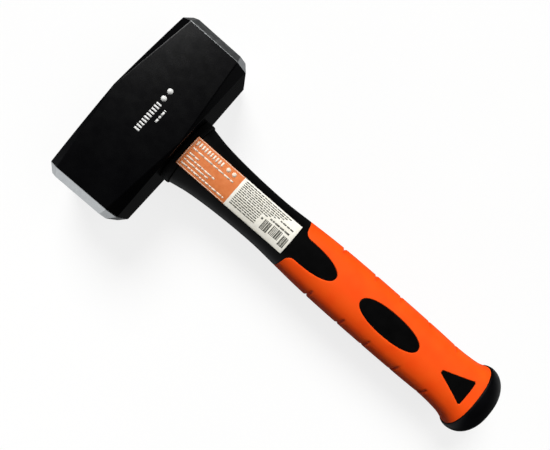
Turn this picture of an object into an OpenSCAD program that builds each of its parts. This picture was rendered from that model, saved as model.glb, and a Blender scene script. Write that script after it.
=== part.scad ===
// A short-handled sledgehammer that lies on one cheek of its head.
// +X runs along the handle to the butt, +Y runs along the striking axis and +Z is up.
// The origin is on the lower cheek, straight below the centre of the eye.

/* [Head] */
// Length between the two struck faces
head_length = 112; // [106:1:118]
// Height of the head at its ends, measured along the handle
head_height = 44.5; // [43:0.5:47]
// Thickness of the head between its two cheeks
head_thickness = 45; // [43:0.5:48]
// How far the crowned top side rises at its middle
crown_rise = 1.2; // [0.8:0.1:2]
// Leg of the long-edge chamfers where they reach the ends
corner_chamfer = 6; // [4:0.5:7]
// Leg of the same chamfers at the middle of the head, where they are narrowest
edge_break = 0.4; // [0.3:0.1:1]
// Length of the ground band round each struck face
band_length = 4.5; // [3:0.5:5]
// How far each struck face is set in from the sides of the head
face_inset = 4; // [3:0.5:5]

/* [Eye] */
// Length of the eye at its mouths, along the striking axis
eye_length = 35; // [34:0.5:37]
// Width of the eye at its mouths, between the cheeks
eye_width = 25; // [24:0.5:27]
// How far each wall of the eye closes in at the waist
eye_waist = 1; // [0.5:0.1:1.3]
// How far the cast resin stands below the top mouth of the eye
resin_recess = 1.2; // [0.5:0.1:2]

/* [Handle] */
// Length of the whole hammer, from the crowned top to the butt
total_length = 278; // [276:1:281]
// Diameter of the fibreglass core rod
core_diameter = 17; // [15:0.5:17.5]
// Height of the sealing gasket under the head
gasket_height = 5.6; // [5:0.1:6]
// How far the jacket reaches up into the eye
spigot_depth = 10; // [6:0.5:14]
// Distance from the eye's centre to the front of the grip, at its sides
grip_start = 102; // [100:0.5:103]
// Distance from the eye's centre to the seam of the butt cap
cap_seam = 238; // [237:0.5:239]
// Thickness of the soft grip sleeve
sleeve_wall = 2.6; // [2:0.1:2.8]

/* [Inlays and label] */
// Length of the oval inlays
oval_length = 43; // [40:1:44]
// Width of the oval inlays
oval_width = 14.4; // [13:0.1:16]
// Length of the triangular inlays
triangle_length = 19.8; // [17:0.1:20]
// Width of the triangular inlays
triangle_width = 16.2; // [14:0.1:17]
// Length of the label on the neck
label_length = 75; // [70:1:76]
// Width of the label on the neck
label_width = 18.6; // [17:0.1:19]
// Thickness of the label
label_thickness = 0.3; // [0.2:0.05:0.4]

/* [Hidden] */

$fn = 64;
margin = 1;                                  // cutters reach this far past what they cut
mid_z = head_thickness / 2;                  // height of the handle's axis
head_top = -head_height / 2 - crown_rise;
head_foot = head_height / 2;
painted_end = head_length / 2 - band_length;
butt_end = total_length + head_top;

// Outside of the neck and the grip: distance from the eye's centre, width, thickness.
HANDLE = [
    [22, 41, 29],
    [30, 38, 28],
    [38, 35, 27.2],
    [48, 32.9, 26.4],
    [60, 31.4, 25.8],
    [74, 30.5, 25.4],
    [88, 30.6, 25.4],
    [104, 32.6, 26],
    [120, 34.5, 26.6],
    [140, 35.6, 26.8],
    [174, 36, 26.6],
    [200, 35.7, 26.4],
    [217, 35.1, 26.4],
    [228, 36.4, 27],
    [234, 38.4, 27.8],
    [239, 42.2, 29.2]
];
section_sides = 36;
section_power = 2.4;                         // 2 gives an ellipse, more gives flatter sides
ring_step = 4.5;                             // distance between two rings of the handle

neck_start = head_foot + gasket_height;
stub_length = 9;
stub_radius = 12;                            // round end of the jacket, inside the cap
jacket_end = cap_seam + stub_length;
gasket_length = 40.8;
gasket_width = 25;
cap_width = 43.7;
cap_thickness = 30.2;
cap_belly = cap_seam + 2.4;                  // where the cap is widest
cap_taper = 0.03;                            // share by which the cap narrows to its seam
cap_tip = 0.998;                             // share of the quarter ellipse that the end follows
cap_spans = 10;
resin_cover = 1.5;                           // resin over the end of the rod
stub_floor = 2;                              // jacket beyond the other end of the rod
core_start = head_top + resin_recess + resin_cover;
core_end = jacket_end - stub_floor;
spigot_inset = 3;                            // the spigot is this much smaller than the eye
spigot_length = eye_length - spigot_inset;
spigot_width = eye_width - spigot_inset;

oval_start = 151.2;
oval_sides = 48;
oval_power = 0.92;                           // 1 gives an ellipse, less gives fuller shoulders
mouth_end = 132.7;                           // the grip's mouth ends in half an oval
lobe_slant = 4;                              // the grip's front leans back by this much
lobe_radius = 2.6;
triangle_start = 212.3;
inlay_corner = 1.3;
label_start = head_foot + 3.2;
GROOVES = [128, 152, 171, 193, 214];         // distances from the eye's centre
groove_radius = 2;
groove_depth = 0.7;
groove_half = 4;                             // each runs this far up and down from the axis
small_sides = 24;                            // sides of small round shapes
crown_sides = 180;

// Slope of column c of table t at row i, from the rows beside it.
function slope(t, i, c) =
    let (a = max(i - 1, 0), b = min(i + 1, len(t) - 1))
    (t[b][c] - t[a][c]) / (t[b][0] - t[a][0]);

// Row of table t whose span holds x.
function row(t, x, i = 0) = i >= len(t) - 2 || x <= t[i + 1][0] ? i : row(t, x, i + 1);

// Smooth curve through column c of table t.
function curve(t, x, c) =
    let (i = row(t, x), h = t[i + 1][0] - t[i][0], u = (x - t[i][0]) / h)
    t[i][c] * (1 + 2 * u) * (1 - u) ^ 2
    + t[i + 1][c] * (3 - 2 * u) * u ^ 2
    + slope(t, i, c) * h * u * (1 - u) ^ 2
    - slope(t, i + 1, c) * h * (1 - u) * u ^ 2;

function signed_power(v, p) = sign(v) * abs(v) ^ p;

// Closed oval outline in a plane across the handle, as 3-D points at distance x.
function ring(x, width, thickness) = [
    for (k = [0:section_sides - 1])
    let (a = 360 * k / section_sides)
    [
        x,
        width / 2 * signed_power(cos(a), 2 / section_power),
        mid_z + thickness / 2 * signed_power(sin(a), 2 / section_power)
    ]
];

function handle_ring(x, inset) =
    ring(x, curve(HANDLE, x, 1) - 2 * inset, curve(HANDLE, x, 2) - 2 * inset);

// Rounded end of the cap: both half axes shrink along a quarter of an ellipse.
function cap_ring(x) =
    let (
        u = cap_tip * max(0, (x - cap_belly) / (butt_end - cap_belly)),
        rise = 1 - cap_taper * max(0, (cap_belly - x) / (cap_belly - cap_seam)) ^ 2,
        shrink = rise * sqrt(1 - u ^ 2)
    )
    ring(x, cap_width * shrink, cap_thickness * shrink);

// Solid between two rings of the same count.
module span(a, b) {
    n = len(a);
    hull()
    polyhedron(
        points = concat(a, b),
        faces = concat(
            [[for (k = [0:n - 1]) k]],
            [[for (k = [n - 1:-1:0]) n + k]],
            [for (k = [0:n - 1]) [(k + 1) % n, k, n + k, n + (k + 1) % n]]
        )
    );
}

// Solid through the handle's rings, each moved inwards by inset.
module handle_form(from, to, inset = 0) {
    steps = ceil((to - from) / ring_step);
    for (i = [0:steps - 1])
        span(
            handle_ring(from + (to - from) * i / steps, inset),
            handle_ring(from + (to - from) * (i + 1) / steps, inset)
        );
}

// Oval with straight sides, drawn along Y, for the eye and what fills it.
module stadium(length, width) {
    square([width, length - width], center = true);
    for (side = [-1, 1]) translate([0, side * (length - width) / 2]) circle(d = width);
}

// Prism of that oval between two distances along the handle.
module stadium_prism(from, to, length, width) {
    translate([from, 0, mid_z]) rotate([0, 90, 0])
        linear_extrude(to - from) stadium(length, width);
}

// Half of the eye: wide at its mouth and closing in towards the waist.
module eye_half(mouth_x, reach) {
    wide = eye_width / 2;
    narrow = wide - eye_waist;
    straight = eye_length - eye_width;
    flip = mouth_x < 0 ? 0 : 180;
    translate([mouth_x, 0, mid_z]) rotate([0, 90 + flip, 0]) {
        for (side = [-1, 1])
            translate([0, side * straight / 2, 0])
                cylinder(h = reach, r1 = wide, r2 = narrow);
        translate([0, straight / 2, 0]) rotate([90, 0, 0]) linear_extrude(straight)
            polygon([[-wide, 0], [wide, 0], [narrow, reach], [-narrow, reach]]);
    }
}

module eye() {
    eye_half(head_top, -head_top);
    eye_half(head_foot, head_foot);
}

// Side of the head: straight under the handle, crowned on top.
module head_outline() {
    radius = (painted_end ^ 2 + crown_rise ^ 2) / (2 * crown_rise);
    intersection() {
        translate([head_top, -head_length / 2])
            square([head_foot - head_top, head_length]);
        translate([head_top + radius, 0]) circle(r = radius, $fn = crown_sides);
    }
}

// Half-space beyond a plane: the plane holds `point` and faces along `normal`.
module cut_beyond(point, normal) {
    size = 2 * head_length;
    turn = atan2(normal.y, normal.x);
    tilt = acos(normal.z / norm(normal));
    translate(point) rotate([0, tilt, turn]) translate([-size / 2, -size / 2, 0])
        cube(size);
}

// The four chamfers on one end, each growing from the head's middle to its end.
module long_edge_cuts(end) {
    growth = (corner_chamfer - edge_break) / painted_end;
    crowned_growth = growth + crown_rise / painted_end;
    for (up = [-1, 1]) {
        cut_beyond(
            [head_foot - edge_break, 0, mid_z + up * mid_z],
            [1, end * growth, up]
        );
        cut_beyond(
            [head_top + edge_break, 0, mid_z + up * mid_z],
            [-1, end * crowned_growth, up]
        );
    }
}

// The ground band: eight planes that close in from the painted end to the struck face.
module band_cuts(end) {
    flat = [0, end * face_inset / band_length, 0];
    edge = [0, end * face_inset / band_length * sqrt(2), 0];
    for (side = [-1, 1]) {
        cut_beyond([side * head_height / 2, end * painted_end, mid_z], [side, 0, 0] + flat);
        cut_beyond([0, end * painted_end, mid_z + side * mid_z], [0, 0, side] + flat);
        for (up = [-1, 1])
            cut_beyond(
                [
                    side * (head_height - corner_chamfer) / 2,
                    end * painted_end,
                    mid_z + up * (mid_z - corner_chamfer / 2)
                ],
                [side, 0, up] + edge
            );
    }
}

module head() {
    color("#1b1b1c")
    difference() {
        linear_extrude(head_thickness) head_outline();
        for (end = [-1, 1]) {
            long_edge_cuts(end);
            band_cuts(end);
        }
        eye();
    }
}

module core_rod() {
    color("#c9b87a")
    translate([core_start, 0, mid_z]) rotate([0, 90, 0])
        cylinder(h = core_end - core_start, d = core_diameter);
}

module eye_resin() {
    color("#2a2723")
    difference() {
        intersection() {
            eye();
            translate([head_top + resin_recess, -eye_length, 0])
                cube([head_foot - head_top - resin_recess, 2 * eye_length, head_thickness]);
        }
        stadium_prism(head_foot - spigot_depth, head_foot + margin, spigot_length, spigot_width);
        core_rod();
    }
}

module eye_gasket() {
    color("#101010")
    difference() {
        union() {
            handle_form(head_foot, neck_start);
            stadium_prism(head_foot, neck_start, gasket_length, gasket_width);
        }
        stadium_prism(head_foot - margin, neck_start + margin, spigot_length, spigot_width);
    }
}

// Outline of the neck with the tongue that fills the grip's mouth.
module mouth_outline() {
    centre = mouth_end - oval_length / 2;
    wide = head_height;
    offset(r = -lobe_radius) offset(delta = lobe_radius) {
        translate([mouth_end - oval_length, 0]) oval_outline();
        translate([0, -oval_width / 2]) square([centre, oval_width]);
        polygon([
            [0, -wide],
            [grip_start - lobe_slant, -wide],
            [grip_start + lobe_slant, 0],
            [grip_start - lobe_slant, wide],
            [0, wide]
        ]);
    }
}

module oval_outline() {
    translate([oval_length / 2, 0])
        polygon([
            for (k = [0:oval_sides - 1])
            let (a = 360 * k / oval_sides)
            [
                oval_length / 2 * signed_power(cos(a), oval_power),
                oval_width / 2 * signed_power(sin(a), oval_power)
            ]
        ]);
}

// Triangle with rounded corners that points at the head.
module triangle_outline() {
    far = triangle_length - inlay_corner;
    wide = triangle_width / 2 - inlay_corner;
    hull() {
        translate([inlay_corner, 0]) circle(inlay_corner, $fn = small_sides);
        for (side = [-1, 1])
            translate([far, side * wide]) circle(inlay_corner, $fn = small_sides);
    }
}

module inlay_outlines() {
    translate([oval_start, 0]) oval_outline();
    translate([triangle_start, 0]) triangle_outline();
}

module jacket_core() {
    handle_form(grip_start - 2 * ring_step, cap_seam, sleeve_wall);
    translate([cap_seam - margin, 0, mid_z]) rotate([0, 90, 0])
        cylinder(h = jacket_end - cap_seam + margin, r = stub_radius);
}

module handle_jacket() {
    color("#151515")
    difference() {
        union() {
            jacket_core();
            stadium_prism(
                head_foot - spigot_depth, neck_start + margin, spigot_length, spigot_width
            );
            intersection() {
                handle_form(neck_start, mouth_end + margin);
                linear_extrude(head_thickness) mouth_outline();
            }
        }
        translate([0, 0, mid_z]) rotate([0, 90, 0])
            cylinder(h = core_end, d = core_diameter);
    }
}

module groove_cuts() {
    for (x = GROOVES)
        for (side = [-1, 1])
            translate([
                x,
                side * (curve(HANDLE, x, 1) / 2 + groove_radius - groove_depth),
                mid_z
            ])
                hull()
                for (up = [-1, 1])
                    translate([0, 0, up * groove_half]) sphere(groove_radius, $fn = small_sides);
}

module grip_sleeve() {
    color("#ff5a1f")
    difference() {
        handle_form(grip_start - ring_step, cap_seam);
        handle_form(grip_start - 2 * ring_step, cap_seam + ring_step, sleeve_wall);
        linear_extrude(head_thickness) {
            mouth_outline();
            inlay_outlines();
        }
        groove_cuts();
    }
}

module inlay(low, high) {
    color("#0d0d0d")
    intersection() {
        difference() {
            handle_form(oval_start - ring_step, cap_seam);
            handle_form(oval_start - 2 * ring_step, cap_seam + ring_step, sleeve_wall);
        }
        translate([0, 0, low]) linear_extrude(high - low) children();
    }
}

module oval_inlay_front() {
    inlay(mid_z, head_thickness) translate([oval_start, 0]) oval_outline();
}

module oval_inlay_back() {
    inlay(0, mid_z) translate([oval_start, 0]) oval_outline();
}

module triangle_inlay_front() {
    inlay(mid_z, head_thickness) translate([triangle_start, 0]) triangle_outline();
}

module triangle_inlay_back() {
    inlay(0, mid_z) translate([triangle_start, 0]) triangle_outline();
}

module butt_cap() {
    color("#101010")
    difference() {
        for (i = [0:cap_spans - 1])
            span(
                cap_ring(cap_seam + (butt_end - cap_seam) * sin(90 * i / cap_spans)),
                cap_ring(cap_seam + (butt_end - cap_seam) * sin(90 * (i + 1) / cap_spans))
            );
        translate([cap_seam - margin, 0, mid_z]) rotate([0, 90, 0])
            cylinder(h = jacket_end - cap_seam + margin, r = stub_radius);
    }
}

module label() {
    color("#e8763c")
    intersection() {
        difference() {
            handle_form(head_foot, grip_start, -label_thickness);
            handle_form(head_foot, grip_start);
        }
        translate([label_start, -label_width / 2, mid_z])
            cube([label_length, label_width, mid_z]);
    }
}

head();
eye_resin();
eye_gasket();
core_rod();
handle_jacket();
grip_sleeve();
oval_inlay_front();
oval_inlay_back();
triangle_inlay_front();
triangle_inlay_back();
butt_cap();
label();
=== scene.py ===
import random
from math import atan2, copysign, cos, hypot, pi, radians, sin, sqrt

import bmesh
import bpy
import numpy as np
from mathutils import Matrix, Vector


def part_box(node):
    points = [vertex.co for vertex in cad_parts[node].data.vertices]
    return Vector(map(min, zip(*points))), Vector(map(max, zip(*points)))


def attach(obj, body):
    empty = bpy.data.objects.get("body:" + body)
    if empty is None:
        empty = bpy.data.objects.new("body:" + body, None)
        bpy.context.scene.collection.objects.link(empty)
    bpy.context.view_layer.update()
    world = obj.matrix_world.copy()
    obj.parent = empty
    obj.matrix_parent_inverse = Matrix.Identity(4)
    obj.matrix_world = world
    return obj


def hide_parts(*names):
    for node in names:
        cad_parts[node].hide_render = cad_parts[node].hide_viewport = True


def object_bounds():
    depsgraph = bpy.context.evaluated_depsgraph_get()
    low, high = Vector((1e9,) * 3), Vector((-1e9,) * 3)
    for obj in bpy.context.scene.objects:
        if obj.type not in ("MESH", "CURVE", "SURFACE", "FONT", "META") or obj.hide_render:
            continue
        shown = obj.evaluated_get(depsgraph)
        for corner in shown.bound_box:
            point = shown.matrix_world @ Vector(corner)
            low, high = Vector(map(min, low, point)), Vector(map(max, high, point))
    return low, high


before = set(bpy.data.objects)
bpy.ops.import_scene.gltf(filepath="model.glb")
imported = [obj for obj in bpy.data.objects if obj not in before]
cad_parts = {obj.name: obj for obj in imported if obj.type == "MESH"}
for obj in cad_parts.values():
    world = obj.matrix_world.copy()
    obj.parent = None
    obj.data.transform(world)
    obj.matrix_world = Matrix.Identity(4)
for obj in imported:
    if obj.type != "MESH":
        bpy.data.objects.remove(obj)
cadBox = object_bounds()
print("frame loaded:", len(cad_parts), "nodes")

mm = 0.001
headLow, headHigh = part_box("head")
middle = (headLow.z + headHigh.z) / 2 / mm    # height of the handle's axis


def linearColour(code):
    channels = [int(code[i:i + 2], 16) / 255 for i in (1, 3, 5)]
    linear = [c / 12.92 if c <= 0.04045 else ((c + 0.055) / 1.055) ** 2.4 for c in channels]
    return (*linear, 1.0)


def addNode(tree, kind, sockets=None, **settings):
    node = tree.nodes.new(kind)
    for name, value in settings.items():
        setattr(node, name, value)
    for socket, value in (sockets or {}).items():
        if isinstance(value, bpy.types.NodeSocket):
            tree.links.new(value, node.inputs[socket])
        else:
            node.inputs[socket].default_value = value
    return node


def startMaterial(name):
    material = bpy.data.materials.new(name)
    material.use_nodes = True
    tree = material.node_tree
    tree.nodes.clear()
    shader = addNode(tree, "ShaderNodeBsdfPrincipled")
    addNode(tree, "ShaderNodeOutputMaterial", {"Surface": shader.outputs["BSDF"]})
    place = addNode(tree, "ShaderNodeTexCoord").outputs["Object"]
    return material, tree, shader, place


def meshObject(bm, name, materials, sharpAngle=None):
    mesh = bpy.data.meshes.new(name)
    for face in bm.faces:
        face.smooth = True
    bm.to_mesh(mesh)
    bm.free()
    if sharpAngle:
        mesh.set_sharp_from_angle(angle=radians(sharpAngle))
    for material in materials:
        mesh.materials.append(material)
    made = bpy.data.objects.new(name, mesh)
    bpy.context.scene.collection.objects.link(made)
    return made


def finishPiece(bm, name, materials, replaced=(), sharpAngle=None):
    piece = meshObject(bm, name, materials, sharpAngle)
    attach(piece, "root")
    if replaced:
        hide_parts(*replaced)
    print("made", name, "with", len(piece.data.polygons), "faces")
    return piece


textures = {
    "noise": (0.3, 0.7),       # most of a noise texture's values lie between these
    "ramp": (0.35, 0.65),      # where the first colour ends and the second one starts
    "glossShare": 3,           # the gloss varies three times as finely as the colour
    "reliefDetail": 3.0,
}


def speckle(tree, place, size, detail=2.0, stretch=(1, 1, 1)):
    # noise with a grain of about size mm, drawn out along the axes that stretch names
    scaled = addNode(tree, "ShaderNodeMapping", {
        "Vector": place, "Scale": [1 / s for s in stretch]})
    noise = addNode(tree, "ShaderNodeTexNoise", {
        "Vector": scaled.outputs["Vector"], "Scale": 1 / (size * mm), "Detail": detail})
    return noise.outputs["Fac"]


def spread(tree, value, low, high):
    # turns a noise into numbers from low to high
    return addNode(tree, "ShaderNodeMapRange", {
        "Value": value, "From Min": textures["noise"][0], "From Max": textures["noise"][1],
        "To Min": low, "To Max": high}).outputs["Result"]


def blendColours(tree, factor, first, second):
    ramp = addNode(tree, "ShaderNodeValToRGB", {"Fac": factor})
    stops = ramp.color_ramp.elements
    for stop, position, colour in zip(stops, textures["ramp"], (first, second)):
        stop.position = position
        stop.color = linearColour(colour)
    return ramp.outputs["Color"]


def mottled(name, finish):
    # one grain for the colour, one for the gloss and one for the relief
    material, tree, shader, place = startMaterial(name)
    colour = blendColours(tree, speckle(tree, place, finish["patch"]), *finish["colours"])
    glossGrain = speckle(tree, place, finish["patch"] / textures["glossShare"])
    gloss = spread(tree, glossGrain, *finish["roughness"])
    relief = speckle(tree, place, finish["grain"], textures["reliefDetail"])
    bump = addNode(tree, "ShaderNodeBump", {
        "Height": relief, "Strength": finish["bump"], "Distance": finish["relief"] * mm})
    tree.links.new(colour, shader.inputs["Base Color"])
    tree.links.new(gloss, shader.inputs["Roughness"])
    tree.links.new(bump.outputs["Normal"], shader.inputs["Normal"])
    shader.inputs["IOR"].default_value = finish["ior"]
    shader.inputs["Specular IOR Level"].default_value = finish["level"]
    return material


# Baked enamel on a drop-forged head: sprayed, so it has a faint orange peel and soft broad gloss.
enamelBlack = mottled("bakedEnamel", {
    "colours": ("#030304", "#050506"), "patch": 14, "roughness": (0.24, 0.28),
    "grain": 1.1, "relief": 0.02, "bump": 0.35, "ior": 1.5, "level": 0.14})

# Injection-moulded nylon over the fibreglass: spark-eroded mould, an even dull black.
nylonBlack = mottled("mouldedNylon", {
    "colours": ("#030303", "#060606"), "patch": 9, "roughness": (0.44, 0.5),
    "grain": 0.45, "relief": 0.03, "bump": 0.45, "ior": 1.5, "level": 0.08})

# Soft thermoplastic rubber in safety orange: matt, with a fine moulded grain.
rubberOrange = mottled("thermoplasticRubberOrange", {
    "colours": ("#ff4f0a", "#ff560e"), "patch": 11, "roughness": (0.56, 0.64),
    "grain": 0.5, "relief": 0.04, "bump": 0.4, "ior": 1.5, "level": 0.2})

# The same rubber in black for the inlays, a little smoother.
rubberBlack = mottled("thermoplasticRubberBlack", {
    "colours": ("#030303", "#060606"), "patch": 8, "roughness": (0.5, 0.58),
    "grain": 0.4, "relief": 0.02, "bump": 0.4, "ior": 1.5, "level": 0.08})

# Polypropylene cap: moulded from a polished tool, slightly glossier than the grip.
polypropyleneBlack = mottled("mouldedPolypropylene", {
    "colours": ("#040405", "#070709"), "patch": 10, "roughness": (0.4, 0.46),
    "grain": 0.7, "relief": 0.02, "bump": 0.35, "ior": 1.49, "level": 0.12})

# Nitrile gasket squeezed under the head: dead matt.
nitrileBlack = mottled("nitrileRubber", {
    "colours": ("#050505", "#080808"), "patch": 5, "roughness": (0.6, 0.7),
    "grain": 0.35, "relief": 0.03, "bump": 0.4, "ior": 1.5, "level": 0.1})

# Poured epoxy in the eye: dark, glossy and a little uneven where it shrank.
epoxyDark = mottled("castEpoxy", {
    "colours": ("#14110d", "#221c14"), "patch": 6, "roughness": (0.16, 0.26),
    "grain": 3.5, "relief": 0.15, "bump": 0.5, "ior": 1.55, "level": 0.5})

# Pultruded fibreglass rod: straw-coloured resin with glass strands along its length.
fibreglassStraw = mottled("pultrudedFibreglass", {
    "colours": ("#b9a361", "#d3c086"), "patch": 1.2, "roughness": (0.35, 0.5),
    "grain": 0.3, "relief": 0.03, "bump": 0.5, "ior": 1.55, "level": 0.5})

# White pad-print ink: thin, so it stays a little uneven.
printWhite = mottled("padPrintInk", {
    "colours": ("#d9d9d6", "#efefec"), "patch": 1.5, "roughness": (0.4, 0.5),
    "grain": 0.4, "relief": 0.01, "bump": 0.3, "ior": 1.48, "level": 0.4})

# Laminated paper label, orange end: smooth film over a printed tint.
labelOrange = mottled("laminatedPaperOrange", {
    "colours": ("#dc7a42", "#e3844b"), "patch": 3, "roughness": (0.36, 0.42),
    "grain": 0.8, "relief": 0.01, "bump": 0.3, "ior": 1.45, "level": 0.4})

# The same label's bare cream end.
labelCream = mottled("laminatedPaperCream", {
    "colours": ("#f4f0e2", "#faf7ec"), "patch": 3, "roughness": (0.36, 0.42),
    "grain": 0.8, "relief": 0.01, "bump": 0.3, "ior": 1.45, "level": 0.4})

# Printing inks on the label: pale on the orange end, grey on the cream end.
inkPale = mottled("labelInkPale", {
    "colours": ("#f0d9c2", "#f8e7d5"), "patch": 1, "roughness": (0.4, 0.46),
    "grain": 0.5, "relief": 0.005, "bump": 0.2, "ior": 1.45, "level": 0.4})
inkGrey = mottled("labelInkGrey", {
    "colours": ("#605f57", "#77766d"), "patch": 1, "roughness": (0.4, 0.46),
    "grain": 0.5, "relief": 0.005, "bump": 0.2, "ior": 1.45, "level": 0.4})


# Belt-ground carbon steel, lacquered clear: bright, with fine lines that run with the belt.
# The lines are drawn 0.4 mm apart, a little coarser than the real grit, so that they show.
beltGround = {
    "line": 0.4, "lineDetail": 2.0, "lineStretch": (40, 1, 1), "patch": 2.5, "patchDetail": 4.0,
    "colours": ("#b0b2b3", "#bdbfbf"), "roughness": (0.36, 0.48), "bump": 0.6, "relief": 0.03}


def groundSteel():
    material, tree, shader, place = startMaterial("groundCarbonSteel")
    lines = speckle(
        tree, place, beltGround["line"], beltGround["lineDetail"], beltGround["lineStretch"])
    patches = speckle(tree, place, beltGround["patch"], beltGround["patchDetail"])
    colour = blendColours(tree, patches, *beltGround["colours"])
    gloss = spread(tree, patches, *beltGround["roughness"])
    bump = addNode(tree, "ShaderNodeBump", {
        "Height": lines, "Strength": beltGround["bump"], "Distance": beltGround["relief"] * mm})
    tree.links.new(colour, shader.inputs["Base Color"])
    tree.links.new(gloss, shader.inputs["Roughness"])
    tree.links.new(bump.outputs["Normal"], shader.inputs["Normal"])
    shader.inputs["Metallic"].default_value = 1.0
    return material


steelGround = groundSteel()
print("finishes ready")


view = {
    "place": (0.07066, -0.02186, 0.32648), "turn": (1.07, -5.42, 40.92),
    "lens": 35.064, "sensor": 36, "nearest": 0.01}

cameraData = bpy.data.cameras.new("camera")
cameraData.lens = view["lens"]
cameraData.sensor_width = view["sensor"]
cameraData.clip_start = view["nearest"]
camera = bpy.data.objects.new("camera", cameraData)
camera.location = view["place"]
camera.rotation_euler = [radians(a) for a in view["turn"]]
bpy.context.scene.collection.objects.link(camera)
bpy.context.scene.camera = camera
bpy.context.scene.view_settings.view_transform = "Standard"

lights = {
    # name: direction it comes from, how wide it looks in degrees, strength
    "key": ((-0.50, 0.52, 0.69), 30, 3.6),
    "fill": ((0.45, 0.35, 0.82), 60, 0.8),
}
for name, (source, wide, strength) in lights.items():
    lamp = bpy.data.lights.new(name, "SUN")
    lamp.angle = radians(wide)
    lamp.energy = strength
    holder = bpy.data.objects.new(name, lamp)
    holder.location = Vector(source)
    holder.rotation_euler = Vector(source).to_track_quat("Z", "Y").to_euler()
    holder.visible_glossy = False    # the softbox below makes the gloss
    bpy.context.scene.collection.objects.link(holder)

# A softbox beyond the head's crowned side, towards +Y. Only the gloss shows it, and it fades
# across the cheek.
softbox = {"place": (-0.30, 0.23, 0.43), "aim": (-0.01, 0.03, 0.04), "size": 0.26, "power": 3.4}
panel = bpy.data.lights.new("softbox", "AREA")
panel.shape = "DISK"
panel.size = softbox["size"]
panel.energy = softbox["power"]
panelHolder = bpy.data.objects.new("softbox", panel)
panelHolder.location = softbox["place"]
panelTurn = Vector(softbox["place"]) - Vector(softbox["aim"])
panelHolder.rotation_euler = panelTurn.to_track_quat("Z", "Y").to_euler()
panelHolder.visible_diffuse = False
bpy.context.scene.collection.objects.link(panelHolder)

# The room is dim, so black surfaces stay black. Two bright walls show only in gloss, one past
# each struck face, and the backdrop itself is seen pale.
walls = {
    # direction, cosines where it starts and where it is full, strength
    "left": ((-0.30, -0.95, -0.05), 0.4, 0.8, 1.1),
    "right": ((0.66, 0.70, -0.27), 0.75, 0.95, 0.7),
}
room = {"ambient": 0.03, "air": "#f4f6f8", "backdrop": "#ffffff"}
studio = bpy.data.worlds.new("studio")
studio.use_nodes = True
bpy.context.scene.world = studio
air = studio.node_tree
air.nodes.clear()
ray = addNode(air, "ShaderNodeLightPath")
heading = addNode(air, "ShaderNodeTexCoord").outputs["Generated"]
brightness = room["ambient"]
for direction, start, full, strength in walls.values():
    towards = addNode(
        air, "ShaderNodeVectorMath", {0: heading, 1: direction}, operation="DOT_PRODUCT")
    wall = addNode(air, "ShaderNodeMapRange", {
        "Value": towards.outputs["Value"], "From Min": start, "From Max": full,
        "To Min": 0.0, "To Max": strength}, interpolation_type="SMOOTHSTEP")
    brightness = addNode(air, "ShaderNodeMath", {
        0: wall.outputs["Result"], 1: ray.outputs["Is Glossy Ray"], 2: brightness},
        operation="MULTIPLY_ADD").outputs["Value"]
seen = addNode(air, "ShaderNodeBackground", {
    "Color": linearColour(room["backdrop"]), "Strength": 1.0})
lit = addNode(air, "ShaderNodeBackground", {
    "Color": linearColour(room["air"]), "Strength": brightness})
which = addNode(air, "ShaderNodeMixShader", {
    0: ray.outputs["Is Camera Ray"], 1: lit.outputs["Background"], 2: seen.outputs["Background"]})
addNode(air, "ShaderNodeOutputWorld", {"Surface": which.outputs["Shader"]})

# A paper sweep on a light table: the glow keeps the shadows on it faint.
sweep = {"width": 6.0, "drop": 0.05, "glow": "#fbfbfb", "glowStrength": 0.84}
paper = mottled("matPaperSweep", {
    "colours": ("#727271", "#767675"), "patch": 300, "roughness": (0.8, 0.9),
    "grain": 2, "relief": 0.01, "bump": 0.1, "ior": 1.45, "level": 0.1})
glow = paper.node_tree.nodes["Principled BSDF"].inputs
glow["Emission Color"].default_value = linearColour(sweep["glow"])
glow["Emission Strength"].default_value = sweep["glowStrength"]
floorBm = bmesh.new()
bmesh.ops.create_grid(floorBm, x_segments=1, y_segments=1, size=sweep["width"] / 2)
bmesh.ops.translate(floorBm, verts=floorBm.verts[:], vec=(0, 0, -sweep["drop"] * mm))
floor = meshObject(floorBm, "floor", [paper])
floor.visible_diffuse = False    # a white sweep would light the dark sides from below
floor.visible_glossy = False
print("camera, lights and floor ready")


# Outside of the handle: the neck and the grip share these sections.
handle = {
    # distance from the eye's centre, width, thickness
    "stations": [
        (22, 41, 29), (30, 38, 28), (38, 35, 27.2), (48, 32.9, 26.4), (60, 31.4, 25.8),
        (74, 30.5, 25.4), (88, 30.6, 25.4), (104, 32.6, 26), (120, 34.5, 26.6),
        (140, 35.6, 26.8), (174, 36, 26.6), (200, 35.7, 26.4), (217, 35.1, 26.4),
        (228, 36.4, 27), (234, 38.4, 27.8), (239, 42.2, 29.2)],
    "power": 2.4,          # 2 gives an ellipse, more gives flatter sides
    "typical": (35, 26.5),     # section on which distances round the handle are measured
    "arcSteps": 1440,      # steps in half of that section
    "ringPoints": 96,
    "gridStep": 2.0,
    "wall": 2.4,
    "gap": 0.05,           # half of the seam between two mouldings
    # rounding of a moulding's edge: how far out and how far down
    "lip": [(0.1, 0.02), (0.2, 0.08), (0.28, 0.17), (0.33, 0.3), (0.34, 0.6)],
    "neckTo": 134,         # where the neck's slices end
    "gripFrom": 100,       # where the grip's slices start
}


def signedPower(value, power):
    return copysign(abs(value) ** power, value)


def slopeAt(rows, i, column):
    a, b = rows[max(i - 1, 0)], rows[min(i + 1, len(rows) - 1)]
    return (b[column] - a[column]) / (b[0] - a[0])


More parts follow.
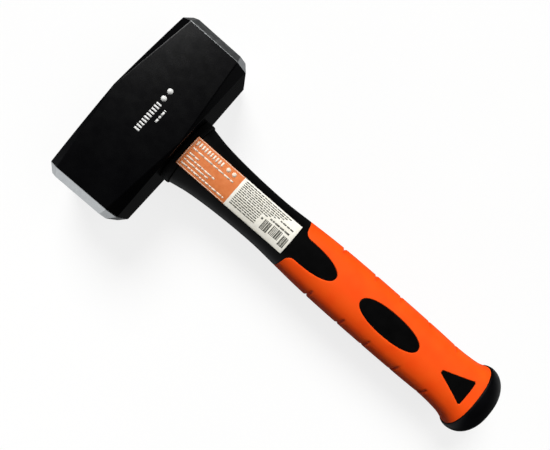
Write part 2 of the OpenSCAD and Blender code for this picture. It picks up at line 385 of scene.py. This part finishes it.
def handleSize(x):
    # width and thickness at x, on a smooth curve through the stations
    rows = handle["stations"]
    i = 0
    while i < len(rows) - 2 and x > rows[i + 1][0]:
        i += 1
    h = rows[i + 1][0] - rows[i][0]
    u = (x - rows[i][0]) / h
    return [
        rows[i][c] * (1 + 2 * u) * (1 - u) ** 2
        + rows[i + 1][c] * (3 - 2 * u) * u ** 2
        + slopeAt(rows, i, c) * h * u * (1 - u) ** 2
        - slopeAt(rows, i + 1, c) * h * (1 - u) * u ** 2
        for c in (1, 2)]


def sectionPoint(x, angle, width, thickness):
    reach = 2 / handle["power"]
    return Vector((
        x * mm,
        width / 2 * signedPower(cos(angle), reach) * mm,
        (middle + thickness / 2 * signedPower(sin(angle), reach)) * mm))


def onHandle(x, angle, depth=0.0):
    width, thickness = handleSize(x)
    return sectionPoint(x, angle, width - 2 * depth, thickness - 2 * depth)


# Distances round the section are measured on the typical one, from the -Y side and back to it.
arcSteps = handle["arcSteps"]
roundAngles = np.array([pi * (i / arcSteps - 1) for i in range(2 * arcSteps + 1)])
typical = [sectionPoint(0, angle, *handle["typical"]) for angle in roundAngles]
roundArcs = np.array([0.0] + [(b - a).length / mm for a, b in zip(typical, typical[1:])]).cumsum()
halfRound = roundArcs[-1] / 2
roundArcs -= halfRound


def arcOf(angle):
    return float(np.interp(angle, roundAngles, roundArcs))


def angleOf(arc):
    return float(np.interp(arc, roundArcs, roundAngles))


def arcAcross(x, y, up):
    # distance round the section of the point of the upper or lower side that lies at x, y in plan
    share = min(abs(y) / (handleSize(x)[0] / 2), 1.0)
    angle = atan2(sqrt(max(1 - share ** handle["power"], 0)), share ** (handle["power"] / 2))
    if y < 0:
        angle = pi - angle
    return up * arcOf(angle)


def unroll(outline, up):
    flat = [(x, arcAcross(x, y, up)) for x, y in outline]
    turn = sum(a[0] * b[1] - b[0] * a[1] for a, b in zip(flat, flat[1:] + flat[:1]))
    return flat if turn > 0 else flat[::-1]


def offsetCurve(points, distance, closed=True):
    # moves a curve to its right by distance, which is outwards for a closed outline
    moved = []
    count = len(points)
    for i in range(count):
        if closed:
            a, b = points[i - 1], points[(i + 1) % count]
        else:
            a, b = points[max(i - 1, 0)], points[min(i + 1, count - 1)]
        dx, ds = b[0] - a[0], b[1] - a[1]
        if not closed and i in (0, count - 1):
            dx = 0
        length = hypot(dx, ds)
        moved.append((points[i][0] + distance * ds / length, points[i][1] - distance * dx / length))
    return moved


# Distances in mm that count as nothing: between points meant to be level, between a cut and a
# point, and between points that are merged.
sheet = {"level": 1e-3, "snap": 0.01, "merge": 0.002}


def onSeam(v):
    # a flat sheet's two long borders meet on the handle's -Y side
    return abs(abs(v.co.y) - halfRound) < sheet["level"]


def sliceSheet(bm, xLines, arcLines):
    # cuts a filled sheet along a grid, and takes out the fill's slanted edges
    for axis, lines in ((0, xLines), (1, arcLines)):
        for value in lines:
            spot, normal = Vector(), Vector()
            spot[axis] = value
            normal[axis] = 1
            bmesh.ops.bisect_plane(
                bm, geom=bm.verts[:] + bm.edges[:] + bm.faces[:], dist=sheet["snap"],
                plane_co=spot, plane_no=normal)
    slanted = [
        e for e in bm.edges if not e.is_boundary
        and abs(e.verts[0].co.x - e.verts[1].co.x) > sheet["level"]
        and abs(e.verts[0].co.y - e.verts[1].co.y) > sheet["level"]]
    bmesh.ops.dissolve_edges(bm, edges=slanted, use_verts=False, use_face_split=False)
    spare = [v for v in bm.verts if len(v.link_edges) == 2 and not v.is_boundary]
    bmesh.ops.dissolve_verts(bm, verts=spare)


def rollEdge(bm, edges, profile):
    # extrudes an open border ring by ring: each step is how far out and how far down it goes
    edges = list(edges)
    outward = {}
    for edge in edges:
        across = (edge.verts[1].co - edge.verts[0].co).cross(Vector((0, 0, 1))).normalized()
        if across.dot(edge.link_faces[0].calc_center_median() - edge.verts[0].co) > 0:
            across.negate()
        for v in edge.verts:
            outward[v] = outward.get(v, Vector()) + across
    base = {}
    for v, direction in outward.items():
        if onSeam(v):
            direction.y = 0
        base[v] = (v.co.copy(), direction.normalized())
    for out, down in profile:
        made = bmesh.ops.extrude_edge_only(bm, edges=edges)["geom"]
        fresh = {g for g in made if isinstance(g, bmesh.types.BMVert)}
        edges = [
            g for g in made if isinstance(g, bmesh.types.BMEdge)
            and g.verts[0] in fresh and g.verts[1] in fresh]
        step = {}
        for v in fresh:
            old = next(e.other_vert(v) for e in v.link_edges if e.other_vert(v) in base)
            origin, direction = base[old]
            v.co = origin + direction * out - Vector((0, 0, down))
            step[v] = (origin, direction)
        base = step


def mouldedSkin(loops, xLines, arcLines, wall, lip, place):
    # A closed wall: a flat sheet is filled and sliced, its borders are rolled down, a copy
    # closes it underneath, and then it is wrapped round the handle.
    bm = bmesh.new()
    for loop in loops:
        corners = [bm.verts.new((x, s, 0)) for x, s in loop]
        for a, b in zip(corners, corners[1:] + corners[:1]):
            bm.edges.new((a, b))
    bmesh.ops.triangle_fill(bm, use_beauty=True, use_dissolve=False, edges=bm.edges[:])
    sliceSheet(bm, xLines, arcLines)
    below = bmesh.ops.duplicate(bm, geom=bm.verts[:] + bm.edges[:] + bm.faces[:])["geom"]
    lowVerts = [g for g in below if isinstance(g, bmesh.types.BMVert)]
    bmesh.ops.translate(bm, verts=lowVerts, vec=(0, 0, -wall))
    lowSet = set(lowVerts)
    border = [e for e in bm.edges if e.is_boundary and not all(onSeam(v) for v in e.verts)]
    lowBorder = [e for e in border if e.verts[0] in lowSet]
    topBorder = [e for e in border if e.verts[0] not in lowSet]
    rollEdge(bm, topBorder, lip + [(lip[-1][0], wall)])
    rollEdge(bm, lowBorder, [(lip[-1][0], 0)])
    for v in bm.verts:
        v.co = place(v.co.x, v.co.y, -v.co.z)
    bmesh.ops.remove_doubles(bm, verts=bm.verts[:], dist=sheet["merge"] * mm)
    bmesh.ops.recalc_face_normals(bm, faces=bm.faces[:])
    return bm


def steps(low, high, size):
    count = max(1, round((high - low) / size))
    return [low + (high - low) * i / count for i in range(1, count)]


def wrapped(x, arc, depth):
    return onHandle(x, angleOf(arc), depth)


# Outlines in plan: distance along the handle and across it.
oval = {"length": 43, "width": 14.4, "start": 151.2, "points": 96, "fullness": 0.92}
triangle = {"length": 19.8, "width": 16.2, "start": 212.3, "corner": 1.3, "cornerSteps": 8}
mouth = {
    "end": 132.7, "front": 106, "lean": 8 / 44.5, "fillet": 4.4,
    "frontSteps": 13, "filletSteps": 8, "tipSteps": 24, "passes": 3,
    "clear": 0.3,          # least distance between the fillet and the tongue's first point
}
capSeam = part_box("butt_cap")[0].x / mm


def ovalPoint(start, turn):
    return (
        start + oval["length"] / 2 * (1 + signedPower(cos(turn), oval["fullness"])),
        oval["width"] / 2 * signedPower(sin(turn), oval["fullness"]))


def ovalOutline():
    return [ovalPoint(oval["start"], 2 * pi * i / oval["points"]) for i in range(oval["points"])]


def triangleOutline():
    corner = triangle["corner"]
    near = triangle["start"] + corner
    far = triangle["start"] + triangle["length"] - corner
    wide = triangle["width"] / 2 - corner
    lean = atan2(far - near, wide)  # turn of the slanted sides' normals
    outline = []
    for x, y, start, end in (
            (far, -wide, -lean, 0), (far, wide, 0, lean), (near, 0, pi - lean, pi + lean)):
        for i in range(triangle["cornerSteps"] + 1):
            a = start + (end - start) * i / triangle["cornerSteps"]
            outline.append((x + corner * cos(a), y + corner * sin(a)))
    return outline


def frontLine(y):
    return mouth["front"] - mouth["lean"] * abs(y)


def mouthOutline():
    # upper half of the grip's front edge, from the +Y side over the tongue to the -Y side
    fillet = mouth["fillet"]
    wallY = oval["width"] / 2
    normal = Vector((1, mouth["lean"])).normalized()
    centreY = wallY + fillet
    centreX = frontLine(centreY) + fillet / normal.x
    touchY = centreY - fillet * normal.y
    touchArc = arcAcross(frontLine(touchY), touchY, 1)
    half = []
    for i in range(mouth["frontSteps"]):
        arc = arcOf(0) + (touchArc - arcOf(0)) * i / mouth["frontSteps"]
        y = touchY
        for _ in range(mouth["passes"]):
            y = onHandle(frontLine(y), angleOf(arc)).y / mm
        half.append((frontLine(y), y))
    startTurn = atan2(-normal.y, -normal.x)
    for i in range(mouth["filletSteps"] + 1):
        a = startTurn + (-pi / 2 - startTurn) * i / mouth["filletSteps"]
        half.append((centreX + fillet * cos(a), centreY + fillet * sin(a)))
    start = mouth["end"] - oval["length"]
    tipSteps = mouth["tipSteps"]
    tip = [ovalPoint(start, pi / 2 * (1 - i / tipSteps)) for i in range(tipSteps + 1)]
    half += [p for p in tip if p[0] > half[-1][0] + mouth["clear"]]
    mirrored = [(x, -y) for x, y in half[::-1] if abs(y) > sheet["level"]]
    return half + mirrored


upperMouth = [(x, arcAcross(x, y, 1)) for x, y in mouthOutline()]
upperMouth[0] = (upperMouth[0][0], 0.0)
upperMouth[-1] = (upperMouth[-1][0], halfRound)
mouthCurve = [(x, -s) for x, s in upperMouth[::-1]][:-1] + upperMouth
windows = [
    unroll(outline, up) for outline in (ovalOutline(), triangleOutline()) for up in (1, -1)]
inset = handle["lip"][-1][0] + handle["gap"]
arcGrid = steps(-halfRound, halfRound, handle["gridStep"])
print("outlines ready")


grooves = {
    "at": (128, 152, 171, 193, 214),    # distances from the eye's centre
    "depth": 1.6, "half": 1.4, "reach": 11.5, "flat": 6.5,
    "fade": 1.5,           # depth inside the wall at which nothing is left of them
    "slices": 4, "clear": 0.4}


def grooveDepth(x, arc):
    fromSide = min(abs(arc), halfRound - abs(arc))
    along = min(abs(x - g) for g in grooves["at"])
    if along > grooves["half"] or fromSide > grooves["reach"]:
        return 0.0
    fade = 1 - max(0, fromSide - grooves["flat"]) / (grooves["reach"] - grooves["flat"])
    dip = cos(pi / 2 * along / grooves["half"]) ** 2
    return grooves["depth"] * dip * fade ** 2 * (3 - 2 * fade)


def grooved(x, arc, depth):
    shallow = max(0, 1 - depth / grooves["fade"])
    return wrapped(x, arc, depth + grooveDepth(x, arc) * shallow)


gripFront = offsetCurve(mouthCurve, inset, closed=False)
gripEnd = capSeam - inset
gripLoops = [gripFront + [(gripEnd, halfRound), (gripEnd, -halfRound)]]
gripLoops += [offsetCurve(w, inset) for w in windows]
gripX = steps(handle["gripFrom"], gripEnd, handle["gridStep"])
slices = grooves["slices"]
for g in grooves["at"]:
    gripX = [x for x in gripX if abs(x - g) > grooves["half"] + grooves["clear"]]
    gripX += [g + grooves["half"] * i / slices for i in range(-slices, slices + 1)]
gripArcs = arcGrid + [
    s / 2 + t / 2 for s, t in zip(arcGrid, arcGrid[1:])
    if min(abs(s), halfRound - abs(s)) < grooves["reach"] + 1]
finishPiece(
    mouldedSkin(gripLoops, sorted(gripX), sorted(gripArcs), handle["wall"], handle["lip"], grooved),
    "grip_rubber_sleeve", [rubberOrange], ["grip_sleeve"])

# Neck and tongue of the jacket, up to the grip's front edge.
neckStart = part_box("eye_gasket")[1].x / mm + inset
neckEdge = offsetCurve(mouthCurve, -inset, closed=False)
neckLoop = neckEdge[::-1] + [(neckStart, -halfRound), (neckStart, halfRound)]
finishPiece(
    mouldedSkin([neckLoop], steps(neckStart, handle["neckTo"], handle["gridStep"]), arcGrid,
                handle["wall"], handle["lip"], wrapped),
    "handle_jacket_neck", [nylonBlack], ["handle_jacket"])

# Soft inlays in the windows of the sleeve.
inlayNames = ("oval_inlay_front", "oval_inlay_back", "triangle_inlay_front", "triangle_inlay_back")
for outline, node in zip(windows, inlayNames):
    loop = offsetCurve(outline, -inset)
    low, high = min(p[0] for p in loop), max(p[0] for p in loop)
    finishPiece(
        mouldedSkin([loop], steps(low, high, handle["gridStep"]), arcGrid,
                    handle["wall"], handle["lip"], wrapped),
        node + "_pad", [rubberBlack], [node])


def loft(sections):
    # a closed skin through sections of the same count, built by extruding one ring
    bm = bmesh.new()
    count = len(sections[0])
    ring = bmesh.ops.create_circle(bm, cap_ends=False, radius=1, segments=count)["verts"]
    order = {v: i for i, v in enumerate(ring)}
    for v, i in order.items():
        v.co = sections[0][i]
    edges = bm.edges[:]
    bmesh.ops.edgeloop_fill(bm, edges=edges)
    for section in sections[1:]:
        made = bmesh.ops.extrude_edge_only(bm, edges=edges)["geom"]
        fresh = [g for g in made if isinstance(g, bmesh.types.BMVert)]
        step = {}
        for v in fresh:
            old = next(e.other_vert(v) for e in v.link_edges if e.other_vert(v) in order)
            step[v] = order[old]
            v.co = section[order[old]]
        edges = [
            g for g in made if isinstance(g, bmesh.types.BMEdge)
            and g.verts[0] in step and g.verts[1] in step]
        order = step
    bmesh.ops.edgeloop_fill(bm, edges=edges)
    bmesh.ops.recalc_face_normals(bm, faces=bm.faces[:])
    return bm


ringPoints = handle["ringPoints"]
ringAngles = [angleOf(-halfRound + 2 * halfRound * i / ringPoints) for i in range(ringPoints)]


def ovalRing(x, width, thickness):
    return [sectionPoint(x, a, width, thickness) for a in ringAngles]


cap = {
    "width": 43.7, "thickness": 30.2, "belly": 2.4, "rise": 0.03,
    # its edge at the seam: distance from the edge, and how far in from the outline
    "lip": [(0, 3.0), (0, 0.5), (0.06, 0.25), (0.18, 0.1), (0.35, 0.03)],
    "bellyRings": 4, "domeRings": 22, "tip": (0.8, 0.6), "sharp": 60}
capStart = capSeam + handle["gap"]
buttEnd = cadBox[1].x / mm
bellyX = capSeam + cap["belly"]
capRings = []
for back, drop in cap["lip"]:
    shrink = 1 - cap["rise"] * ((bellyX - capStart - back) / cap["belly"]) ** 2
    capRings.append(ovalRing(
        capStart + back, cap["width"] * shrink - 2 * drop, cap["thickness"] * shrink - 2 * drop))
lipEnd = capStart + cap["lip"][-1][0]
for i in range(1, cap["bellyRings"] + 1):
    x = lipEnd + (bellyX - lipEnd) * i / cap["bellyRings"]
    shrink = 1 - cap["rise"] * (max(0, bellyX - x) / cap["belly"]) ** 2
    capRings.append(ovalRing(x, cap["width"] * shrink, cap["thickness"] * shrink))
for i in range(1, cap["domeRings"]):
    turn = pi / 2 * i / cap["domeRings"]
    shrink = cos(turn)
    capRings.append(ovalRing(
        bellyX + (buttEnd - bellyX) * sin(turn), cap["width"] * shrink, cap["thickness"] * shrink))
capRings.append(ovalRing(buttEnd, *cap["tip"]))
finishPiece(
    loft(capRings), "butt_cap_dome", [polypropyleneBlack], ["butt_cap"],
    cap["sharp"])

gasket = {
    "width": 40.8, "thickness": 28.6, "sharp": 60,
    # share of the way from the head to the neck, and how far in from the outline
    "rings": [
        (0.02, 4.0), (0.02, 0.5), (0.06, 0.2), (0.14, 0.04), (0.5, 0.0), (0.84, 0.05),
        (0.93, 0.22), (0.97, 0.55), (0.98, 1.0), (0.98, 4.0)]}
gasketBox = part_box("eye_gasket")
footX, gasketEnd = gasketBox[0].x / mm, gasketBox[1].x / mm
gasketRings = []
for share, drop in gasket["rings"]:
    x = footX + (gasketEnd - footX) * share
    thick = min(gasket["thickness"], handleSize(x)[1])
    gasketRings.append(ovalRing(x, gasket["width"] - 2 * drop, thick - 2 * drop))
finishPiece(
    loft(gasketRings), "eye_gasket_ring", [nitrileBlack], ["eye_gasket"],
    gasket["sharp"])


forging = {
    "crown": 1.2, "leg": 6.0, "edge": 0.4, "band": 4.5, "inset": 4.0,
    "round": 1.0,          # radius of the painted long edges
    "roundSteps": 4,
    "roundShare": 0.45,    # most of a short side that a round may take
    "tangent": 0.4142,     # how far from an octagon's corner a round of radius 1 starts
    "support": 0.12,       # narrow strip beside each round, which keeps the flats flat
    "supportShare": 0.04,
    "paint": 0.08,         # the ground ends are this much smaller than the paint
    "short": 0.02,         # the paint stops this much before the ground band
    "endStep": 0.15, "step": 3.0, "sharp": 30,
}
topX, footEdge = headLow.x / mm, headHigh.x / mm
thickness = headHigh.z / mm
faceY = headHigh.y / mm
paintedY = faceY - forging["band"]
crownRadius = (paintedY ** 2 + forging["crown"] ** 2) / (2 * forging["crown"])


def headSection(y, shrink, radius):
    # octagon with rounded corners at distance y, moved inwards by shrink
    reach = min(abs(y), paintedY)
    sag = crownRadius - sqrt(crownRadius ** 2 - reach ** 2)
    growth = (forging["leg"] - forging["edge"]) / paintedY
    footLeg = forging["edge"] + growth * reach
    topLeg = forging["edge"] + (growth + forging["crown"] / paintedY) * reach - sag
    cut = shrink * (2 - sqrt(2))
    low, high = topX + sag + shrink, footEdge - shrink
    bottom, top = shrink, thickness - shrink
    footLeg, topLeg = footLeg - cut, topLeg - cut
    corners = [
        (high, bottom + footLeg), (high, top - footLeg), (high - footLeg, top),
        (low + topLeg, top), (low, top - topLeg), (low, bottom + topLeg),
        (low + topLeg, bottom), (high - footLeg, bottom)]
    section = []
    for i, corner in enumerate(corners):
        here = Vector(corner)
        before = Vector(corners[i - 1]) - here
        after = Vector(corners[(i + 1) % len(corners)]) - here
        shortSide = min(before.length, after.length)
        r = min(radius, forging["roundShare"] * shortSide / forging["tangent"])
        tangent = r * forging["tangent"]
        support = min(forging["support"], forging["supportShare"] * shortSide)
        a, b = here + before.normalized() * tangent, here + after.normalized() * tangent
        inward = (before.normalized() + after.normalized()).normalized()
        centre = here + inward * (r / cos(pi / 8))
        section.append(a + before.normalized() * support)
        startTurn = atan2((a - centre).y, (a - centre).x)
        for k in range(forging["roundSteps"] + 1):
            turn = startTurn + pi / 4 * k / forging["roundSteps"]
            section.append(centre + Vector((cos(turn), sin(turn))) * r)
        section.append(b + after.normalized() * support)
    return [Vector((p.x * mm, y * mm, p.y * mm)) for p in section]


bodyEnd = paintedY - forging["short"]
nearEnd = bodyEnd - forging["endStep"]
bodyY = [-bodyEnd, -nearEnd] + steps(-nearEnd, nearEnd, forging["step"]) + [nearEnd, bodyEnd]
body = finishPiece(
    loft([headSection(y, 0, forging["round"]) for y in bodyY]),
    "head_painted_forging", [enamelBlack], ["head"], forging["sharp"])

eye = {
    "length": 35, "width": 25, "points": 64, "resin": 1.2,
    "flare": 0.9,          # how much wider the eye is at the top
    "flareBend": (0.3, 0.45),    # part way down the flare, and how much of it is left there
    "waist": 1.0,          # how much tighter the eye is in the middle
    "past": 1.0,           # how far the cutter runs past the head
    # the resin's rings: distance from its level, and how much wider than the eye
    "pour": [(8, -0.5), (-0.35, 0.05), (-0.1, -0.5), (0.12, -1.3), (0.2, -2.6), (0.2, -6)],
    "boredSharp": 22, "pourSharp": 60}


def eyeRing(x, grow):
    ring = []
    radius = eye["width"] / 2 + grow
    straight = (eye["length"] - eye["width"]) / 2
    for i in range(eye["points"]):
        a = 2 * pi * (i + 0.5) / eye["points"]
        y = radius * sin(a) + copysign(straight, sin(a))
        ring.append(Vector((x * mm, y * mm, (middle + radius * cos(a)) * mm)))
    return ring


flare = eye["flare"]
past = eye["past"]
bendDown, bendWide = eye["flareBend"]
cutter = meshObject(loft([
    eyeRing(topX - past, flare + past), eyeRing(topX, flare),
    eyeRing(topX + bendDown * flare, bendWide * flare), eyeRing(topX + flare, 0.0),
    eyeRing(0, -eye["waist"]), eyeRing(footEdge + past, 0.0)]), "eye_cutter", [enamelBlack])
bore = body.modifiers.new("eye", "BOOLEAN")
bore.object = cutter
bore.solver = "EXACT"
evaluated = body.evaluated_get(bpy.context.evaluated_depsgraph_get())
shaped = bpy.data.meshes.new_from_object(evaluated)
body.modifiers.clear()
body.data = shaped
shaped.name = "head_painted_forging"
shaped.set_sharp_from_angle(angle=radians(eye["boredSharp"]))
bpy.data.objects.remove(cutter)

resinTop = topX + eye["resin"]
finishPiece(
    loft([eyeRing(resinTop + down, wider) for down, wider in eye["pour"]]),
    "eye_resin_pour", [epoxyDark], ["eye_resin"], eye["pourSharp"])

# Ground ends: each comes out from under the paint, slants in as a band, and has a rounded rim.
paint = forging["paint"]
slope = forging["inset"] / forging["band"]
struckEnd = {
    "round": 0.5,          # radius of the long edges
    "under": 0.03,         # how far it reaches in under the paint
    # distance from its start, and how far in from the outline
    "root": [
        (0, paint + 0.5), (0, paint), (0.15, paint + 0.02), (0.4, paint + 0.02 + 0.15 * slope),
        (0.6, 0.5 * slope)],
    "bandStart": 1.2, "bandEnds": (1.0, 0.45),    # from its start, and back from the face
    # distance back from the face, and how much further in than the band's end
    "rim": [(0.22, 0.26), (0.08, 0.5), (0, 0.85), (0, 1.1)]}
bandRoot = paintedY - struckEnd["under"]
bandY = [bandRoot + struckEnd["bandStart"]] + [faceY - back for back in struckEnd["bandEnds"]]
endProfile = [(bandRoot + along, inwards) for along, inwards in struckEnd["root"]]
endProfile += [(y, (y - paintedY) * slope) for y in bandY]
bandInset = endProfile[-1][1]
endProfile += [(faceY - back, bandInset + inwards) for back, inwards in struckEnd["rim"]]
for side, name in ((1, "right"), (-1, "left")):
    finishPiece(
        loft([headSection(side * y, inwards, struckEnd["round"]) for y, inwards in endProfile]),
        "struck_end_" + name, [steelGround], (), forging["sharp"])

# Label on the neck, orange at the head's end and cream beyond the split.
label = {
    "start": 25.45, "end": 100.45, "half": 9.3, "thickness": 0.3, "split": 59.0,
    "lip": [(0.05, 0.03), (0.08, 0.1)],
    "lift": 0.02,          # clear of the neck
    "outlineStep": 2.5, "gridStep": 2.0, "arcStep": 1.5}


def onLabel(x, y, lift):
    return wrapped(x, arcAcross(x, y, 1), -label["thickness"] - lift)


def labelPlace(x, arc, depth):
    return wrapped(x, arc, depth - label["thickness"])


edgeX = steps(label["start"], label["end"], label["outlineStep"])
labelOutline = [(label["start"], -label["half"])] + [(x, -label["half"]) for x in edgeX]
labelOutline += [(label["end"], -label["half"]), (label["end"], label["half"])]
labelOutline += [(x, label["half"]) for x in edgeX[::-1]] + [(label["start"], label["half"])]
labelBm = mouldedSkin(
    [offsetCurve(unroll(labelOutline, 1), -label["lip"][-1][0])],
    sorted(steps(label["start"], label["end"], label["gridStep"]) + [label["split"]]),
    steps(-halfRound, halfRound, label["arcStep"]), label["thickness"] - label["lift"],
    label["lip"], labelPlace)
for face in labelBm.faces:
    face.material_index = int(face.calc_center_median().x > label["split"] * mm)
finishPiece(labelBm, "neck_label", [labelOrange, labelCream], ["label"])


printing = {
    "seed": 11,
    "thick": 0.03, "dotSides": 20,
    "bend": (2, 0.8),      # longest straight run of a shape, along the handle and across it
    "shortest": 1.2,       # shortest block of small print, unless the row ends
}


def printBars(name, bars, place, material, dots, thick=printing["thick"]):
    # flat printed shapes: sheets from x, y to x, y, and round dots, laid on the surface
    bm = bmesh.new()
    for x0, y0, x1, y1 in bars:
        along = max(1, round((x1 - x0) / printing["bend"][0]))
        across = max(1, round((y1 - y0) / printing["bend"][1]))
        made = bmesh.ops.create_grid(bm, x_segments=along, y_segments=across, size=0.5)
        for v in made["verts"]:
            v.co = (x0 + (x1 - x0) * (v.co.x + 0.5), y0 + (y1 - y0) * (v.co.y + 0.5), 0)
    for x, y, radius in dots:
        made = bmesh.ops.create_circle(
            bm, cap_ends=True, radius=radius, segments=printing["dotSides"])
        bmesh.ops.translate(bm, verts=made["verts"], vec=(x, y, 0))
    for v in bm.verts:
        v.co = place(v.co.x, v.co.y, thick)
    bmesh.ops.solidify(bm, geom=bm.faces[:], thickness=2 * thick * mm)
    bmesh.ops.recalc_face_normals(bm, faces=bm.faces[:])
    finishPiece(bm, name, [material])


def wordRow(chance, x, end, y, height, longest, gap):
    # a row of plain blocks that stands for a line of small print
    bars = []
    while x < end - gap:
        length = min(chance.uniform(printing["shortest"], longest), end - x)
        bars.append((x, y - height / 2, x + length, y + height / 2))
        x += length + gap
    return bars


def paragraph(chance, rows, start, end, shorter, top, pitch, height, longest, gap):
    # rows of small print, each shorter than the one above it
    bars = []
    for i in range(rows):
        bars += wordRow(chance, start, end - shorter * i, top - pitch * i, height, longest, gap)
    return bars


def strokeRow(start, end, pitch, width, low, high):
    # a row of even strokes, which stands for a printed name
    count = round((end - start) / pitch)
    return [(start + pitch * i, low, start + pitch * i + width, high) for i in range(count)]


# Pale print on the label's orange end: strokes and dots, small print and a border.
palePrint = {
    "strokes": {"start": 27.4, "end": 46.0, "pitch": 1.9, "width": 1.1, "low": 4.8, "high": 7.6},
    "dots": [(49.4, 6.2, 1.3), (53.4, 6.2, 1.3)],    # x, y, radius
    "start": 27.4, "rows": [(2.7, 56), (-0.5, 34), (-2.6, 47), (-4.7, 44), (-7.0, 57)],    # y, end
    "height": 0.9, "longest": 6.0, "gap": 0.35,
    "border": [(25.8, -9.0, 58.8, -8.7), (25.8, 8.7, 58.8, 9.0), (25.8, -8.6, 26.1, 8.6)]}
chance = random.Random(printing["seed"])
pale = strokeRow(**palePrint["strokes"])
for y, end in palePrint["rows"]:
    pale += wordRow(
        chance, palePrint["start"], end, y, palePrint["height"], palePrint["longest"],
        palePrint["gap"])
pale += palePrint["border"]
printBars("label_print_pale", pale, onLabel, inkPale, palePrint["dots"])

# Grey print on the cream end: small print, a small box, and plain bars in three blocks.
greyPrint = {
    "paragraphs": [
        {"rows": 7, "start": 60.8, "end": 94, "shorter": 2, "top": 8.0, "pitch": 1.15,
         "height": 0.6, "longest": 3.2, "gap": 0.35},
        {"rows": 6, "start": 60.8, "end": 78.5, "shorter": 0, "top": -0.2, "pitch": 1.2,
         "height": 0.65, "longest": 3.2, "gap": 0.3},
        {"rows": 1, "start": 84.0, "end": 98, "shorter": 0, "top": 1.2, "pitch": 0,
         "height": 1.0, "longest": 3.4, "gap": 0.4},
        {"rows": 1, "start": 89.0, "end": 98, "shorter": 0, "top": 4.0, "pitch": 0,
         "height": 0.8, "longest": 3.0, "gap": 0.4}],
    "box": (79.6, -2.0, 80.8, -0.8),
    # each block's start and end along the label, and its two ends across it
    "barBlocks": [(82.0, 86.8, -6.4, -0.4), (87.8, 94.2, -5.6, -0.1), (95.2, 99.0, -6.8, -0.8)],
    "barWidths": (0.45, 0.7, 1.0), "barGaps": (0.22, 0.35)}
grey = []
for settings in greyPrint["paragraphs"]:
    grey += paragraph(chance, **settings)
grey.append(greyPrint["box"])
for x, blockEnd, near, far in greyPrint["barBlocks"]:
    while x < blockEnd:
        wide = chance.choice(greyPrint["barWidths"])
        grey.append((x, near, min(x + wide, blockEnd), far))
        x += wide + chance.choice(greyPrint["barGaps"])
printBars("label_print_grey", grey, onLabel, inkGrey, [])


def onCheek(x, y, lift):
    # the mark runs along the head, so its own x is the head's y
    return Vector((-y * mm, x * mm, (thickness + lift) * mm))


# Plain strokes, dots and blocks stand for the print on the cheek.
cheekPrint = {
    "strokes": {"start": -10.4, "end": 8.2, "pitch": 1.9, "width": 1.1, "low": -2.2, "high": 1.0},
    "dots": [(11.2, -0.5, 1.6), (16.2, -0.5, 1.6)],    # x, y, radius
    "row": {"x": -1.0, "end": 7.0, "y": -5.4, "height": 1.2, "longest": 2.4, "gap": 0.5},
    "thick": 0.015}
marks = strokeRow(**cheekPrint["strokes"]) + wordRow(chance, **cheekPrint["row"])
printBars(
    "head_print", marks, onCheek, printWhite, cheekPrint["dots"],
    cheekPrint["thick"])

# The rod keeps its frame shape, and only its finish changes.
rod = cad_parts["core_rod"]
rod.data.materials.clear()
rod.data.materials.append(fibreglassStraw)
print("core rod finished")
